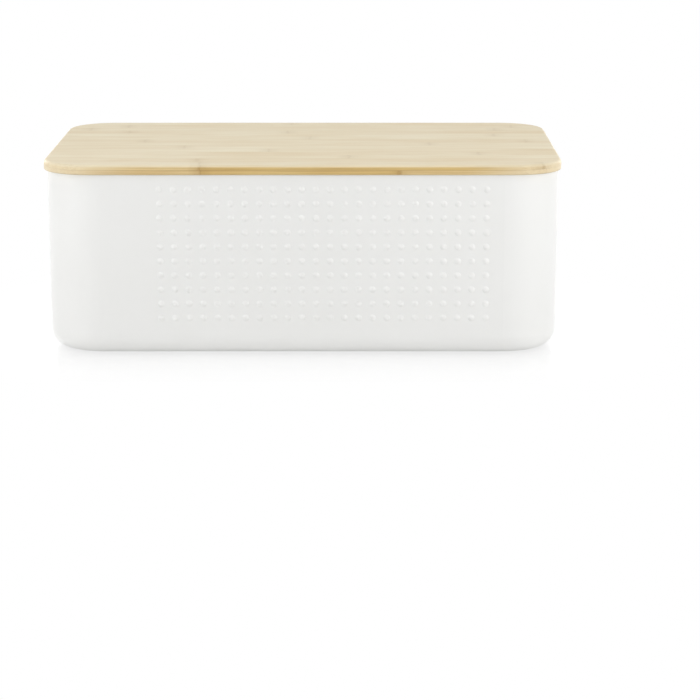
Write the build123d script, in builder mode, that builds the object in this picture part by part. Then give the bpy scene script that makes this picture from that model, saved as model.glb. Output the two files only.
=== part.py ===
from build123d import *
from math import cos, radians, sin, tan
import os

# Bread box: a moulded plastic bin on four feet, closed by a lift-off bamboo board.
# Millimetres, +Z up. The origin is on the table, under the middle of the box.
# +X runs along the box and -Y is its front. Each long wall carries a field of raised nubs.
# The lid is a glued-up board of bamboo strips in three plies, all with the grain along X:
# two plies reach past the rim and rest on it, and the third is a plug that sits in the mouth.

# Lid
lid_length = 454.4
lid_depth = 271.0
lid_corner_radius = 42.0
lid_top_rounding = 3.0
lid_bottom_rounding = 0.8
top_ply_thickness = 4.6
lower_ply_thickness = 4.1
plug_ply_thickness = 6.0
plug_clearance = 1.2
plug_rounding = 1.0
strip_width = 20.0

# Bin: its corners are rounder than the lid's, so the lid reaches out furthest there
lid_overhang = 1.7
bin_height = 159.8
bin_corner_radius = 50.0
wall = 3.0
floor_thickness = 3.0
base_rounding = 15.0
rim_rounding = 0.8
draft_degrees = 0.2

# Nubs on the long walls: margins run to the outermost nub centres, from the flat wall's edges
nub_diameter = 6.0
nub_height = 0.8
nub_root = 0.3
nub_column_pitch = 12.32
nub_row_pitch = 12.62
nub_left_margin = 48.0
nub_right_margin = 15.6
nub_top_margin = 12.9
nub_base_margin = 12.0

# Feet
foot_diameter = 18.0
foot_thickness = 1.8
foot_protrusion = 0.6
foot_clearance = 0.2
foot_edge_gap = 14.0
foot_rounding = 0.5

# A cutting shape runs this far past what it cuts
overrun = 1.0
# A rounding takes at most this share of the thickness that carries it
rounding_limit_share = 0.9

# Heights and outlines that follow from the sizes above
draft = radians(draft_degrees)
base_z = foot_protrusion
rim_z = base_z + bin_height
bin_length = lid_length - 2 * lid_overhang
bin_depth = lid_depth - 2 * lid_overhang
base_taper = bin_height * tan(draft)
mouth_length = bin_length - 2 * wall
mouth_depth = bin_depth - 2 * wall
mouth_corner_radius = bin_corner_radius - wall
plug_length = mouth_length - 2 * plug_clearance
plug_depth = mouth_depth - 2 * plug_clearance
plug_corner_radius = mouth_corner_radius - plug_clearance
foot_recess = foot_thickness - foot_protrusion

os.makedirs("parts", exist_ok=True)


def save(part, label):
    """Name a finished piece and write it to a file of its own."""
    part.label = label
    export_step(part, f"parts/{label}.step")


def limited(rounding, thickness):
    """The rounding, or as much of it as the thickness can carry."""
    return min(rounding, rounding_limit_share * thickness)


# Feet: four soft discs, each glued into a shallow recess under the bin's flat base
flat_base_length = bin_length - 2 * (base_taper + base_rounding)
flat_base_depth = bin_depth - 2 * (base_taper + base_rounding)
foot_x = (flat_base_length - foot_diameter) / 2 - foot_edge_gap
foot_y = (flat_base_depth - foot_diameter) / 2 - foot_edge_gap
foot_places = {
    "foot_front_left": (-foot_x, -foot_y),
    "foot_front_right": (foot_x, -foot_y),
    "foot_back_left": (-foot_x, foot_y),
    "foot_back_right": (foot_x, foot_y),
}

for foot_label, foot_place in foot_places.items():
    with BuildPart() as foot:
        with BuildSketch():
            with Locations(foot_place):
                Circle(foot_diameter / 2)
        extrude(amount=foot_thickness)
        fillet(foot.faces().sort_by(Axis.Z)[0].edges(), limited(foot_rounding, foot_protrusion))
    save(foot.part, foot_label)


# Core: the space inside the bin, as the mould's core fills it
with BuildPart() as core:
    with BuildSketch(Plane.XY.offset(rim_z)):
        RectangleRounded(mouth_length, mouth_depth, mouth_corner_radius)
    extrude(amount=-(bin_height - floor_thickness), taper=draft_degrees)
    fillet(core.faces().sort_by(Axis.Z)[0].edges(), base_rounding - wall)


# Nub: a low dome, with a short root that sinks into the wall
nub_radius = nub_diameter / 2
dome_radius = (nub_radius**2 + nub_height**2) / (2 * nub_height)

with BuildPart() as nub:
    with BuildSketch(Plane.XZ):
        with BuildLine():
            Polyline((0, nub_height), (0, -nub_root), (nub_radius, -nub_root), (nub_radius, 0))
            RadiusArc((nub_radius, 0), (0, nub_height), -dome_radius)
        make_face()
    revolve(axis=Axis.Z)


# Nub field: as many columns and rows as the flat wall has room for between the margins.
# It starts at the right and top margins, so the wider left margin stays bare.
flat_wall_length = bin_length - 2 * bin_corner_radius
flat_wall_height = bin_height - base_rounding
nub_columns = 1 + int((flat_wall_length - nub_left_margin - nub_right_margin) / nub_column_pitch)
nub_rows = 1 + int((flat_wall_height - nub_top_margin - nub_base_margin) / nub_row_pitch)
field_shift = flat_wall_length / 2 - nub_right_margin - (nub_columns - 1) * nub_column_pitch / 2
field_drop = nub_top_margin + (nub_rows - 1) * nub_row_pitch / 2


def field_plane(side):
    """The outer face of the front (-1) or back (+1) wall, centred on its nub field."""
    return Plane(
        origin=(-side * field_shift, side * (bin_depth / 2 - field_drop * tan(draft)), rim_z - field_drop),
        x_dir=(-side, 0, 0),
        z_dir=(0, side * cos(draft), -sin(draft)),
    )


# Bin: one moulded shell, drafted towards its base and open at the top
with BuildPart() as bin_shell:
    with BuildSketch(Plane.XY.offset(rim_z)):
        RectangleRounded(bin_length, bin_depth, bin_corner_radius)
    extrude(amount=-bin_height, taper=draft_degrees)
    fillet(bin_shell.faces().sort_by(Axis.Z)[0].edges(), base_rounding)
    add(core.part, mode=Mode.SUBTRACT)
    fillet(bin_shell.faces().sort_by(Axis.Z)[-1].edges(), limited(rim_rounding, wall / 2))
    with BuildSketch(Plane.XY.offset(base_z)):
        with Locations(*foot_places.values()):
            Circle(foot_diameter / 2 + foot_clearance)
    extrude(amount=foot_recess, mode=Mode.SUBTRACT)
    for side in (-1, 1):
        with Locations(field_plane(side)):
            with GridLocations(nub_column_pitch, nub_row_pitch, nub_columns, nub_rows):
                add(nub.part)
save(bin_shell.part, "bin_shell")


# Plies of the lid, as boards that are still in one piece
top_ply_z = rim_z + lower_ply_thickness
plug_ply_z = rim_z - plug_ply_thickness

with BuildPart() as top_ply:
    with BuildSketch(Plane.XY.offset(top_ply_z)):
        RectangleRounded(lid_length, lid_depth, lid_corner_radius)
    extrude(amount=top_ply_thickness)
    fillet(top_ply.faces().sort_by(Axis.Z)[-1].edges(), limited(lid_top_rounding, top_ply_thickness))

with BuildPart() as lower_ply:
    with BuildSketch(Plane.XY.offset(rim_z)):
        RectangleRounded(lid_length, lid_depth, lid_corner_radius)
    extrude(amount=lower_ply_thickness)
    fillet(lower_ply.faces().sort_by(Axis.Z)[0].edges(), limited(lid_bottom_rounding, lower_ply_thickness))

with BuildPart() as plug_ply:
    with BuildSketch(Plane.XY.offset(plug_ply_z)):
        RectangleRounded(plug_length, plug_depth, plug_corner_radius)
    extrude(amount=plug_ply_thickness)
    fillet(plug_ply.faces().sort_by(Axis.Z)[0].edges(), limited(plug_rounding, plug_ply_thickness))


def glue_lines(depth, staggered):
    """Where one strip of a ply meets the next, from front to back."""
    strips = round(depth / strip_width)
    pitch = depth / strips
    first = -depth / 2 + (pitch / 2 if staggered else pitch)
    return [first + pitch * i for i in range(strips if staggered else strips - 1)]


def cut_into_strips(ply, staggered, label):
    """Cut a ply along its glue lines, and save each strip as a piece."""
    board = ply.part.bounding_box()
    lines = glue_lines(board.size.Y, staggered)
    cuts = [board.min.Y - overrun, *lines, board.max.Y + overrun]
    for number, (front, back) in enumerate(zip(cuts, cuts[1:]), start=1):
        with BuildPart() as strip:
            add(ply.part)
            with Locations((0, (front + back) / 2, board.center().Z)):
                Box(board.size.X + 2 * overrun, back - front, board.size.Z + 2 * overrun, mode=Mode.INTERSECT)
        save(strip.part, f"{label}_{number:02d}")


# Strips: the lower ply's glue lines are staggered from those above and below it
cut_into_strips(top_ply, False, "lid_top_strip")
cut_into_strips(lower_ply, True, "lid_lower_strip")
cut_into_strips(plug_ply, False, "lid_plug_strip")
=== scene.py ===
import math

import bpy
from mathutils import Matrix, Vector


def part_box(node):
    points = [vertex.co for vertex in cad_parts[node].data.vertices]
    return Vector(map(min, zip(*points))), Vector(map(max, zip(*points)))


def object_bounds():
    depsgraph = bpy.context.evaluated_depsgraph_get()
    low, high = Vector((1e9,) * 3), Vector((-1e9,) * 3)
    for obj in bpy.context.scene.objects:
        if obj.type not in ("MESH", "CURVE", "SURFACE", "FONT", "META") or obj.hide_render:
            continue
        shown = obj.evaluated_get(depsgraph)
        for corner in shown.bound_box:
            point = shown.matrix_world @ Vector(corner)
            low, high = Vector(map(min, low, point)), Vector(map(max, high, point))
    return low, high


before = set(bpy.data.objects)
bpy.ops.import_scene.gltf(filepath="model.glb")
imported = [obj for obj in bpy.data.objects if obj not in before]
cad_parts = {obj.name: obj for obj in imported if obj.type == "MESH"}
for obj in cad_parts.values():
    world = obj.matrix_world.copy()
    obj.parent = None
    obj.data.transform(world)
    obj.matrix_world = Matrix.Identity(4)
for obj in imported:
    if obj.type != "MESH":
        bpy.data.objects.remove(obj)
cad_box = [list(corner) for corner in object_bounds()]


# Feet: four soft discs of pale rubber, punched from sheet and glued into shallow recesses
# under the bin. They hold the plastic about half a millimetre clear of the worktop.
foot_grey = (0.50, 0.50, 0.48, 1.0)
foot_grey_worn = (0.58, 0.58, 0.56, 1.0)
foot_roughness = (0.62, 0.85)
foot_grain_per_metre = 1400.0
foot_grain_depth = 0.00005
foot_grain_strength = 0.8


def add_node(tree, kind, inputs=None, **settings):
    """Add a node. Inputs maps a socket's name or number to a value, or to an output to link."""
    node = tree.nodes.new(kind)
    for name, value in settings.items():
        setattr(node, name, value)
    for name, value in (inputs or {}).items():
        if isinstance(value, bpy.types.NodeSocket):
            tree.links.new(value, node.inputs[name])
        else:
            node.inputs[name].default_value = value
    return node


def calculate(tree, operation, *values):
    """The result of a math node on numbers or outputs."""
    return add_node(tree, "ShaderNodeMath", dict(enumerate(values)), operation=operation).outputs[0]


unit_range = (0.0, 1.0)


def remap(tree, value, source, target=unit_range, ease="SMOOTHSTEP"):
    """Carry a value from a source range to a target range, held at both ends."""
    inputs = {
        "Value": value,
        "From Min": source[0],
        "From Max": source[1],
        "To Min": target[0],
        "To Max": target[1],
    }
    return add_node(tree, "ShaderNodeMapRange", inputs, interpolation_type=ease).outputs["Result"]


def noise(tree, place, per_metre, detail, raggedness=0.5, swirl=0.0):
    """The value of a noise texture at a place."""
    inputs = {
        "Vector": place,
        "Scale": per_metre,
        "Detail": detail,
        "Roughness": raggedness,
        "Distortion": swirl,
    }
    return add_node(tree, "ShaderNodeTexNoise", inputs).outputs[0]


def blend_colours(tree, share, first, second, blend="MIX"):
    """Mix two colours by a share that changes over the surface."""
    # The mix node repeats its socket names for each data type, so the colour sockets go by number
    inputs = {0: share, 6: first, 7: second}
    node = add_node(tree, "ShaderNodeMix", inputs, data_type="RGBA", blend_type=blend)
    return node.outputs[2]


def new_group(name, inputs, outputs):
    """A shader node group with named sockets. Returns the group, its inputs and its output node."""
    group = bpy.data.node_groups.new(name, "ShaderNodeTree")
    for label, kind in inputs.items():
        group.interface.new_socket(label, in_out="INPUT", socket_type=kind)
    for label, kind in outputs.items():
        group.interface.new_socket(label, in_out="OUTPUT", socket_type=kind)
    return group, group.nodes.new("NodeGroupInput").outputs, group.nodes.new("NodeGroupOutput")


def new_material(name):
    """A material with its Principled BSDF. Returns the material, its tree and the shader."""
    material = bpy.data.materials.new(name)
    material.use_nodes = True
    return material, material.node_tree, material.node_tree.nodes["Principled BSDF"]


def dress(tree, shader, colour, roughness, height, depth, strength):
    """Link what changes over a surface into its shader, with the height as a bump."""
    bump = add_node(tree, "ShaderNodeBump", {"Height": height, "Distance": depth, "Strength": strength})
    tree.links.new(colour, shader.inputs["Base Color"])
    tree.links.new(roughness, shader.inputs["Roughness"])
    tree.links.new(bump.outputs[0], shader.inputs["Normal"])


def cover(prefix, material):
    """Give one material to every CAD node whose name starts so."""
    for name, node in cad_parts.items():
        if name.startswith(prefix):
            node.data.materials.clear()
            node.data.materials.append(material)


# The skin of what is moulded or rolled: a fine grain, slow drifts in tone and gloss, and faint scuffs
grain_detail = 2.0
drifts_per_metre = 22.0
drift_detail = 4.0
scuffs_per_metre = 70.0
scuff_detail = 6.0
scuff_raggedness = 0.7
scuff_swirl = 2.5
scuff_range = (0.6, 0.7)
scuff_roughness = 0.07
grain_gloss_share = 0.35
gloss_range = (0.45, 0.9)

skin, skin_in, skin_out = new_group(
    "moulded_skin",
    {"Grain Scale": "NodeSocketFloat", "Smoothest": "NodeSocketFloat", "Roughest": "NodeSocketFloat"},
    {"Height": "NodeSocketFloat", "Drift": "NodeSocketFloat", "Roughness": "NodeSocketFloat"},
)
skin_place = add_node(skin, "ShaderNodeTexCoord").outputs["Object"]
skin_grain = noise(skin, skin_place, skin_in["Grain Scale"], grain_detail)
skin_drift = noise(skin, skin_place, drifts_per_metre, drift_detail)
skin_scuffs = noise(skin, skin_place, scuffs_per_metre, scuff_detail, scuff_raggedness, scuff_swirl)
skin_scuffs = remap(skin, skin_scuffs, scuff_range)
skin_gloss = calculate(skin, "MULTIPLY_ADD", skin_grain, grain_gloss_share, skin_drift)
skin_roughness = remap(skin, skin_gloss, gloss_range, (skin_in["Smoothest"], skin_in["Roughest"]))
skin_roughness = calculate(skin, "MULTIPLY_ADD", skin_scuffs, scuff_roughness, skin_roughness)
skin.links.new(skin_grain, skin_out.inputs["Height"])
skin.links.new(skin_drift, skin_out.inputs["Drift"])
skin.links.new(skin_roughness, skin_out.inputs["Roughness"])


def moulded(name, tones, roughness, grain_per_metre, grain_depth, grain_strength):
    """A material with that skin. Its tone drifts between two, and its roughness keeps to a range."""
    material, tree, shader = new_material(name)
    inputs = {"Grain Scale": grain_per_metre, "Smoothest": roughness[0], "Roughest": roughness[1]}
    look = add_node(tree, "ShaderNodeGroup", inputs, node_tree=skin).outputs
    colour = blend_colours(tree, look["Drift"], *tones)
    dress(tree, shader, colour, look["Roughness"], look["Height"], grain_depth, grain_strength)
    return material


foot_rubber = moulded(
    "foot_rubber",
    (foot_grey, foot_grey_worn),
    foot_roughness,
    foot_grain_per_metre,
    foot_grain_depth,
    foot_grain_strength,
)
cover("foot_", foot_rubber)


# Bin: one shell of white plastic, injection moulded with a fine satin texture.
# The nubs on its long walls are part of the moulding.
bin_white = (0.87, 0.87, 0.855, 1.0)
bin_white_deep = (0.85, 0.85, 0.83, 1.0)
bin_roughness = (0.36, 0.48)
bin_grain_per_metre = 2200.0
bin_grain_depth = 0.00004
bin_grain_strength = 0.5

bin_plastic = moulded(
    "bin_plastic",
    (bin_white, bin_white_deep),
    bin_roughness,
    bin_grain_per_metre,
    bin_grain_depth,
    bin_grain_strength,
)
cover("bin_", bin_plastic)


# Lid: bamboo strips glued side by side into three plies, and the plies glued into one board.
# It is sanded flush, rounded along its edges and rubbed with oil. The grain runs along X.
bamboo_pale = (0.83, 0.75, 0.56, 1.0)
bamboo_honey = (0.74, 0.615, 0.40, 1.0)
fibre_shade = (0.55, 0.41, 0.23, 1.0)
bundle_brown = (0.42, 0.28, 0.14, 1.0)
knuckle_brown = (0.40, 0.27, 0.13, 1.0)
glue_brown = (0.34, 0.21, 0.08, 1.0)
side_stain_and_shade = (0.84, 0.69, 0.38, 1.0)
side_stain_and_shade_pale = (0.93, 0.82, 0.60, 1.0)
end_painted_light_tint = (1.0, 0.97, 0.93, 1.0)
oil_specular = 0.3

# What one ply's strips look like: every strip has its own tone, fibres and knuckles
bamboo, bamboo_in, bamboo_out = new_group(
    "bamboo_strips",
    {
        "Strip Width": "NodeSocketFloat",
        "First Seam": "NodeSocketFloat",
        "Last Strip": "NodeSocketFloat",
        "Ply": "NodeSocketFloat",
        "Glue Height": "NodeSocketFloat",
    },
    {"Color": "NodeSocketColor", "Roughness": "NodeSocketFloat", "Height": "NodeSocketFloat"},
)
bamboo_coords = add_node(bamboo, "ShaderNodeTexCoord").outputs
bamboo_place = bamboo_coords["Object"]
x, y, z = add_node(bamboo, "ShaderNodeSeparateXYZ", {0: bamboo_place}).outputs


def draw(strip, ply, *space):
    """Numbers drawn for a strip of a ply, or for one space along it, the same ones at every run."""
    key = add_node(bamboo, "ShaderNodeCombineXYZ", dict(enumerate((strip, ply, *space)))).outputs[0]
    dimensions = "3D" if space else "2D"
    return add_node(bamboo, "ShaderNodeTexWhiteNoise", {"Vector": key}, noise_dimensions=dimensions).outputs


# Which strip this is, and three numbers drawn for it
from_front = calculate(bamboo, "SUBTRACT", y, bamboo_in["First Seam"])
strips_across = calculate(bamboo, "DIVIDE", from_front, bamboo_in["Strip Width"])
strip = calculate(bamboo, "MAXIMUM", calculate(bamboo, "FLOOR", strips_across), 0.0)
strip = calculate(bamboo, "MINIMUM", strip, bamboo_in["Last Strip"])
strip_draw = draw(strip, bamboo_in["Ply"])["Color"]
draw_tone, draw_knuckle, draw_shift = add_node(bamboo, "ShaderNodeSeparateColor", {0: strip_draw}).outputs

# Knuckles: the thin dark line and soft halo where a stem had a joint, now and then along a strip.
# A strip is divided into spaces, which start at a place drawn for the strip. Each space holds
# one knuckle, at a place drawn for the space, and its line is a little wavy.
knuckle_spacing = 0.36
knuckle_shift_spaces = 11.0
knuckle_spread_share = 0.8
knuckle_margin_share = 0.1
knuckle_waves_per_metre = 200.0
knuckle_wave_detail = 3.0
knuckle_wave_width = 0.008
knuckle_line_reach = (0.0004, 0.002)
knuckle_halo_reach = (0.001, 0.013)
noise_middle = 0.5
fading = (1.0, 0.0)

spaces_along = calculate(bamboo, "DIVIDE", x, knuckle_spacing)
spaces_along = calculate(bamboo, "MULTIPLY_ADD", draw_knuckle, knuckle_shift_spaces, spaces_along)
space = calculate(bamboo, "FLOOR", spaces_along)
space_draw = draw(strip, bamboo_in["Ply"], space)["Value"]
knuckle_place = calculate(bamboo, "MULTIPLY_ADD", space_draw, knuckle_spread_share, knuckle_margin_share)
from_knuckle = calculate(bamboo, "SUBTRACT", calculate(bamboo, "FRACT", spaces_along), knuckle_place)
from_knuckle = calculate(bamboo, "MULTIPLY", from_knuckle, knuckle_spacing)
knuckle_wave = noise(bamboo, bamboo_place, knuckle_waves_per_metre, knuckle_wave_detail)
knuckle_wave = calculate(bamboo, "SUBTRACT", knuckle_wave, noise_middle)
from_knuckle = calculate(bamboo, "MULTIPLY_ADD", knuckle_wave, knuckle_wave_width, from_knuckle)
past_knuckle = calculate(bamboo, "GREATER_THAN", from_knuckle, 0.0)
from_knuckle = calculate(bamboo, "ABSOLUTE", from_knuckle)
knuckle_line = remap(bamboo, from_knuckle, knuckle_line_reach, fading)
knuckle_halo = remap(bamboo, from_knuckle, knuckle_halo_reach, fading)

# Stretches: from one knuckle to the next a strip keeps one tone. Its number is drawn half a ply
# aside, so that it isn't the one that places a knuckle.
stretch_ply_step = 0.5
stretch = calculate(bamboo, "ADD", space, past_knuckle)
stretch_ply = calculate(bamboo, "ADD", bamboo_in["Ply"], stretch_ply_step)
stretch_draw = draw(strip, stretch_ply, stretch)["Value"]

# Fibres: long fine streaks, darker bundles among them, and slow clouds of tone.
# Each strip is shifted by a number drawn for it, so that none carries on in its neighbour.
strip_shift_reach = 9.0
fibre_stretch = (0.012, 1.0, 1.0)
fibres_per_metre = 700.0
fibre_detail = 4.0
fibre_raggedness = 0.65
fibre_range = (0.38, 0.68)
bundles_per_metre = 2300.0
bundle_detail = 1.0
bundle_range = (0.56, 0.74)
cloud_stretch = (0.3, 1.0, 1.0)
clouds_per_metre = 34.0
cloud_detail = 3.0


def calculate_vector(tree, operation, *values):
    """The vector that a vector math node gives for vectors or outputs."""
    return add_node(tree, "ShaderNodeVectorMath", dict(enumerate(values)), operation=operation).outputs[0]


strip_shift = calculate(bamboo, "MULTIPLY", draw_shift, strip_shift_reach)
strip_place = calculate_vector(bamboo, "ADD", bamboo_place, strip_shift)
fibre_place = calculate_vector(bamboo, "MULTIPLY", strip_place, fibre_stretch)
cloud_place = calculate_vector(bamboo, "MULTIPLY", strip_place, cloud_stretch)
fibres = noise(bamboo, fibre_place, fibres_per_metre, fibre_detail, fibre_raggedness)
bundles = noise(bamboo, fibre_place, bundles_per_metre, bundle_detail)
clouds = noise(bamboo, cloud_place, clouds_per_metre, cloud_detail)
fibre_mask = remap(bamboo, fibres, fibre_range)
bundle_mask = remap(bamboo, bundles, bundle_range)

# Glue: hairlines between the strips, and the line where this ply meets the next
seam_half_width = 0.00018
glue_half_width = 0.00035
line_core_share = 1 / 3
half_strip = 0.5


def hairline(distance, half_width):
    """A mask that is full along the core of a thin line and fades out at its half width."""
    return remap(bamboo, distance, (line_core_share * half_width, half_width), fading)


seam_phase = calculate(bamboo, "FRACT", calculate(bamboo, "ADD", strips_across, half_strip))
from_seam = calculate(bamboo, "ABSOLUTE", calculate(bamboo, "SUBTRACT", seam_phase, half_strip))
from_seam = calculate(bamboo, "MULTIPLY", from_seam, bamboo_in["Strip Width"])
strip_count = calculate(bamboo, "ADD", bamboo_in["Last Strip"], 1.0)
strips_to_back = calculate(bamboo, "SUBTRACT", strip_count, strips_across)
strips_to_edge = calculate(bamboo, "MINIMUM", strips_across, strips_to_back)
inside_board = calculate(bamboo, "GREATER_THAN", strips_to_edge, half_strip)
seam_mask = calculate(bamboo, "MULTIPLY", hairline(from_seam, seam_half_width), inside_board)
from_glue = calculate(bamboo, "ABSOLUTE", calculate(bamboo, "SUBTRACT", z, bamboo_in["Glue Height"]))
glue_mask = hairline(from_glue, glue_half_width)

# Sides: cut across the culm's wall, where the fibres lie denser and take more oil. Their stain is partly
# that and partly painted shade. The ends, and the long sides near the corners, are painted paler as painted
# light.
# The lower arris, which faces down, gets a painted shade.
side_facing = (0.1, 0.75)
long_side_facing = (0.6, 1.0)
painted_corner_light_places = (0.13, 0.205)
painted_corner_light_stain_shares = (1.0, 0.25)
arris_side_facing = (-0.45, -0.05)
arris_under_facing = (-0.99, -0.9)

facing = add_node(bamboo, "ShaderNodeSeparateXYZ", {0: bamboo_coords["Normal"]}).outputs
side_mask = remap(bamboo, calculate(bamboo, "ABSOLUTE", facing["Z"]), side_facing, fading)
long_side_mask = remap(bamboo, calculate(bamboo, "ABSOLUTE", facing["Y"]), long_side_facing)
# Painted light: towards the corners the side stain fades to a paler tone
painted_corner_light_fade = remap(bamboo, calculate(bamboo, "ABSOLUTE", x), painted_corner_light_places, painted_corner_light_stain_shares)
stain_and_shade_mask = calculate(bamboo, "MULTIPLY", long_side_mask, painted_corner_light_fade)
dense_side_mask = calculate(bamboo, "MULTIPLY", side_mask, stain_and_shade_mask)
stain_and_shade = blend_colours(bamboo, stretch_draw, side_stain_and_shade_pale, side_stain_and_shade)
# Painted light: the ends take a near-white tint instead of the stain
stain_and_shade = blend_colours(bamboo, stain_and_shade_mask, end_painted_light_tint, stain_and_shade)
# Painted shade on the lower arris, the rounding that faces down
above_under = remap(bamboo, facing["Z"], arris_under_facing)
lower_arris_painted_shade = remap(bamboo, facing["Z"], arris_side_facing, fading)
lower_arris_painted_shade = calculate(bamboo, "MULTIPLY", lower_arris_painted_shade, above_under)

# Tone: from pale to honey, by strip, by stretch and by cloud
tone_base = 0.2
strip_tone_share = 0.25
stretch_tone_share = 0.35
cloud_tone_share = 1.8

tone = calculate(bamboo, "MULTIPLY_ADD", draw_tone, strip_tone_share, tone_base)
tone = calculate(bamboo, "MULTIPLY_ADD", stretch_draw, stretch_tone_share, tone)
cloud_tone = calculate(bamboo, "SUBTRACT", clouds, noise_middle)
tone = calculate(bamboo, "MULTIPLY_ADD", cloud_tone, cloud_tone_share, tone)
tone = remap(bamboo, tone, unit_range, ease="LINEAR")

# Colour: the tone, then what lies over it, from the fibres to the glue
fibre_share = 0.16
fibre_side_share = 0.36
bundle_share = 0.12
bundle_side_share = 0.12
knuckle_line_share = 0.11
knuckle_halo_share = 0.11
knuckle_gain = 1.0
knuckle_side_gain = 1.5
seam_share = 0.3
glue_share = 0.1
glue_side_share = 0.3
arris_painted_shade_share = 0.4


def tint(colour, mask, share, shade):
    """Lay a shade over a colour, as strongly as a mask times a share says."""
    return blend_colours(bamboo, calculate(bamboo, "MULTIPLY", mask, share), colour, shade)


def denser(share, side_share):
    """A share that grows by a second one on the dense sides."""
    return calculate(bamboo, "MULTIPLY_ADD", dense_side_mask, side_share, share)


knuckle_mask = calculate(bamboo, "MULTIPLY", knuckle_line, knuckle_line_share)
knuckle_mask = calculate(bamboo, "MULTIPLY_ADD", knuckle_halo, knuckle_halo_share, knuckle_mask)
knuckle_strength = calculate(bamboo, "MULTIPLY_ADD", side_mask, knuckle_side_gain, knuckle_gain)
colour = blend_colours(bamboo, tone, bamboo_pale, bamboo_honey)
colour = tint(colour, fibre_mask, denser(fibre_share, fibre_side_share), fibre_shade)
colour = tint(colour, bundle_mask, denser(bundle_share, bundle_side_share), bundle_brown)
colour = tint(colour, knuckle_mask, knuckle_strength, knuckle_brown)
colour = tint(colour, seam_mask, seam_share, glue_brown)
# The sides take the stain with its painted shade, giving way to painted light at the ends and corners
colour = blend_colours(bamboo, side_mask, colour, stain_and_shade, "MULTIPLY")
colour = tint(colour, glue_mask, denser(glue_share, glue_side_share), glue_brown)
# Painted shade along the lower arris
colour = tint(colour, lower_arris_painted_shade, arris_painted_shade_share, glue_brown)
bamboo.links.new(colour, bamboo_out.inputs["Color"])

# Gloss and relief: fibres and bundles are a little rougher, and bundles and seams lie lower
oiled_roughness = 0.42
fibre_roughness = 0.08
bundle_roughness = 0.12
bundle_relief = -0.5
seam_relief = -0.8

rough = calculate(bamboo, "MULTIPLY_ADD", fibre_mask, fibre_roughness, oiled_roughness)
rough = calculate(bamboo, "MULTIPLY_ADD", bundle_mask, bundle_roughness, rough)
relief = calculate(bamboo, "MULTIPLY_ADD", bundle_mask, bundle_relief, fibres)
relief = calculate(bamboo, "MULTIPLY_ADD", seam_mask, seam_relief, relief)
bamboo.links.new(rough, bamboo_out.inputs["Roughness"])
bamboo.links.new(relief, bamboo_out.inputs["Height"])

# The plies: what is drawn for a ply's strips follows from its number
plug_ply_number = 3.0
lower_ply_number = 28703.0
top_ply_number = 9846.0
relief_depth = 0.00006
relief_strength = 0.6


def bamboo_ply(name, ply_number, glue_height):
    """Cover the strips of one ply, with the seams where the CAD strips meet."""
    strips = sorted(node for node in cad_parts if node.startswith(name))
    second_low, second_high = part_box(strips[1])
    strip_width = second_high.y - second_low.y
    inputs = {
        "Strip Width": strip_width,
        "First Seam": second_low.y - strip_width,
        "Last Strip": len(strips) - 1,
        "Ply": ply_number,
        "Glue Height": glue_height,
    }
    material, tree, shader = new_material(name)
    shader.inputs["Specular IOR Level"].default_value = oil_specular
    look = add_node(tree, "ShaderNodeGroup", inputs, node_tree=bamboo).outputs
    dress(tree, shader, look["Color"], look["Roughness"], look["Height"], relief_depth, relief_strength)
    cover(name, material)


rim_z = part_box("lid_lower_strip_02")[0].z
ply_joint_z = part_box("lid_top_strip_02")[0].z
bamboo_ply("lid_plug_strip", plug_ply_number, rim_z)
bamboo_ply("lid_lower_strip", lower_ply_number, ply_joint_z)
bamboo_ply("lid_top_strip", top_ply_number, ply_joint_z)


# Stage: a white polished table that runs out of view, and a white surround.
# Seen directly or in a reflection both are white. As light on the object they are softer.
# Close to the box the table shows its own shading: the shadow at the feet and a faint reflection.
white = (1.0, 1.0, 1.0, 1.0)
white_strength = 1.0
table_half_width = 12.0
table_bounce = (0.75, 0.75, 0.75, 1.0)
table_glow = (0.08, 0.08, 0.08, 1.0)
table_roughness = 0.1
table_polish = 0.7
base_inset = 0.0156
base_corner_radius = 0.034
contact_reach = (0.0, 0.012)
contact_white_shares = (0.8, 0.0)
shade_reach = (0.03, 0.115)
shade_white_shares = (0.66, 1.0)
surround_fill = 0.06


def seen_directly(tree):
    """One for rays that show the surround as a picture, zero for those that gather its light."""
    path = add_node(tree, "ShaderNodeLightPath").outputs
    mirrored = calculate(tree, "MAXIMUM", path["Is Glossy Ray"], path["Is Transmission Ray"])
    return calculate(tree, "MAXIMUM", path["Is Camera Ray"], mirrored)


table_corners = [
    (table_half_width * across, table_half_width * along, 0.0)
    for across, along in [(-1, -1), (1, -1), (1, 1), (-1, 1)]
]
table_mesh = bpy.data.meshes.new("table")
table_mesh.from_pydata(table_corners, [], [range(len(table_corners))])
table = bpy.data.objects.new("table", table_mesh)
bpy.context.scene.collection.objects.link(table)

table_paint, tree, shader = new_material("table_paint")
shader.inputs["Roughness"].default_value = table_roughness
shader.inputs["Emission Color"].default_value = table_glow
shader.inputs["Emission Strength"].default_value = white_strength
table_seen = seen_directly(tree)
tree.links.new(blend_colours(tree, table_seen, table_bounce, white), shader.inputs["Base Color"])
tree.links.new(calculate(tree, "MULTIPLY", table_seen, table_polish), shader.inputs["Metallic"])

# The table's distance from the outline of the bin's flat base, which has rounded corners
bin_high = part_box("bin_shell")[1]
corner_inset = base_inset + base_corner_radius
corner_centre = (bin_high.x - corner_inset, bin_high.y - corner_inset, 0.0)
table_place = add_node(tree, "ShaderNodeTexCoord").outputs["Object"]
beyond_centre = calculate_vector(tree, "ABSOLUTE", table_place)
beyond_centre = calculate_vector(tree, "SUBTRACT", beyond_centre, corner_centre)
beyond_centre = calculate_vector(tree, "MAXIMUM", beyond_centre, (0.0, 0.0, 0.0))
from_centre = add_node(tree, "ShaderNodeVectorMath", {0: beyond_centre}, operation="LENGTH")
from_base = calculate(tree, "SUBTRACT", from_centre.outputs["Value"], base_corner_radius)

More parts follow.
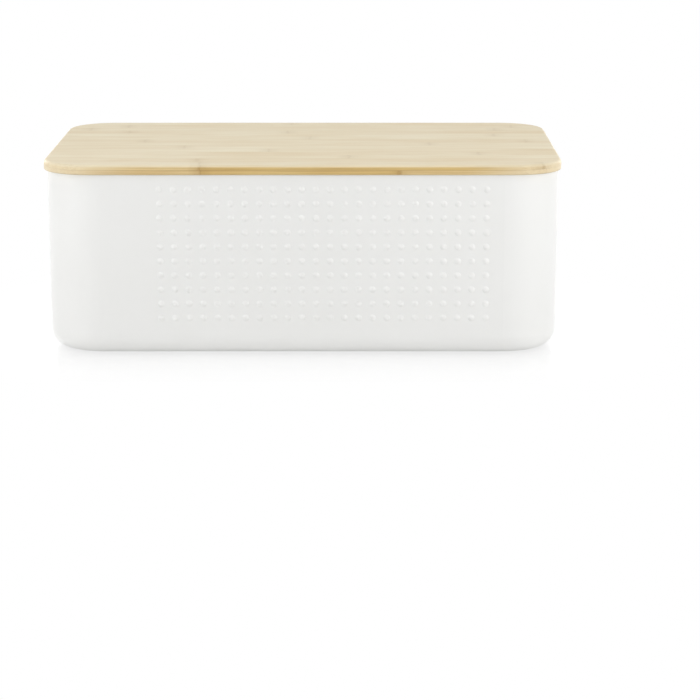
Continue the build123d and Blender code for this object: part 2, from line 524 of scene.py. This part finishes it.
# The share of plain white in the table: large at the contact, least close by, and all of it further out
contact_share = remap(tree, from_base, contact_reach, contact_white_shares)
shade_share = remap(tree, from_base, shade_reach, shade_white_shares, "LINEAR")
white_share = calculate(tree, "MAXIMUM", contact_share, shade_share)
white_share = calculate(tree, "MULTIPLY", table_seen, white_share)
white_light = add_node(tree, "ShaderNodeEmission", {"Color": white, "Strength": white_strength}).outputs[0]
table_mix = add_node(tree, "ShaderNodeMixShader", {0: white_share, 1: shader.outputs[0], 2: white_light})
tree.links.new(table_mix.outputs[0], tree.nodes["Material Output"].inputs["Surface"])
table_mesh.materials.append(table_paint)

surround = bpy.data.worlds.new("surround")
surround.use_nodes = True
bpy.context.scene.world = surround
tree = surround.node_tree
backdrop = tree.nodes["Background"]
backdrop.inputs["Color"].default_value = white
surround_seen = seen_directly(tree)
surround_strength = remap(tree, surround_seen, unit_range, (surround_fill, white_strength), "LINEAR")
tree.links.new(surround_strength, backdrop.inputs["Strength"])


# Lights: tall softboxes in pairs, beside the box, before it and behind it, and two wide ones,
# one above its front and a weaker one above its back.
box_middle = Vector((0.0, 0.0, (cad_box[0][2] + cad_box[1][2]) / 2))


def softbox(name, place, width, height, watts):
    """An area lamp that faces the middle of the box. The camera doesn't see it."""
    lamp = bpy.data.lights.new(name, "AREA")
    lamp.shape = "RECTANGLE"
    lamp.size = width
    lamp.size_y = height
    lamp.energy = watts
    holder = bpy.data.objects.new(name, lamp)
    holder.location = place
    holder.rotation_euler = (box_middle - Vector(place)).to_track_quat("-Z", "Y").to_euler()
    holder.visible_camera = False
    bpy.context.scene.collection.objects.link(holder)


softbox("softbox_left", place=(-0.95, -0.5, 0.45), width=0.7, height=0.9, watts=4.8)
softbox("softbox_right", place=(0.95, -0.5, 0.45), width=0.7, height=0.9, watts=4.4)
softbox("softbox_front_left", place=(-0.8, -1.1, 0.4), width=0.5, height=0.9, watts=2.0)
softbox("softbox_front_right", place=(0.8, -1.1, 0.4), width=0.5, height=0.9, watts=3.1)
softbox("softbox_back_left", place=(-0.9, 1.0, 0.45), width=0.6, height=0.9, watts=4.4)
softbox("softbox_back_right", place=(0.9, 1.0, 0.45), width=0.6, height=0.9, watts=4.4)
softbox("softbox_above", place=(0.0, -0.4, 1.4), width=1.4, height=0.9, watts=6.9)
softbox("softbox_behind", place=(0.0, 0.4, 1.3), width=1.4, height=0.9, watts=3.5)


# Camera: a long lens from the front, a little above the lid and to the right of the middle.
# It looks straight ahead and down, so the box stands left of the picture's middle.
picture_pixels = 700
focal_pixels = 2304.0
sensor_millimetres = 36.0
camera_place = (0.0416, -2.1014, 0.475)
camera_dip = math.radians(13.43)

lens = bpy.data.cameras.new("camera")
lens.sensor_width = sensor_millimetres
lens.lens = sensor_millimetres * focal_pixels / picture_pixels
camera = bpy.data.objects.new("camera", lens)
camera.location = camera_place
camera.rotation_euler = (math.pi / 2 - camera_dip, 0.0, 0.0)
bpy.context.scene.collection.objects.link(camera)
bpy.context.scene.camera = camera
bpy.context.scene.view_settings.view_transform = "Standard"
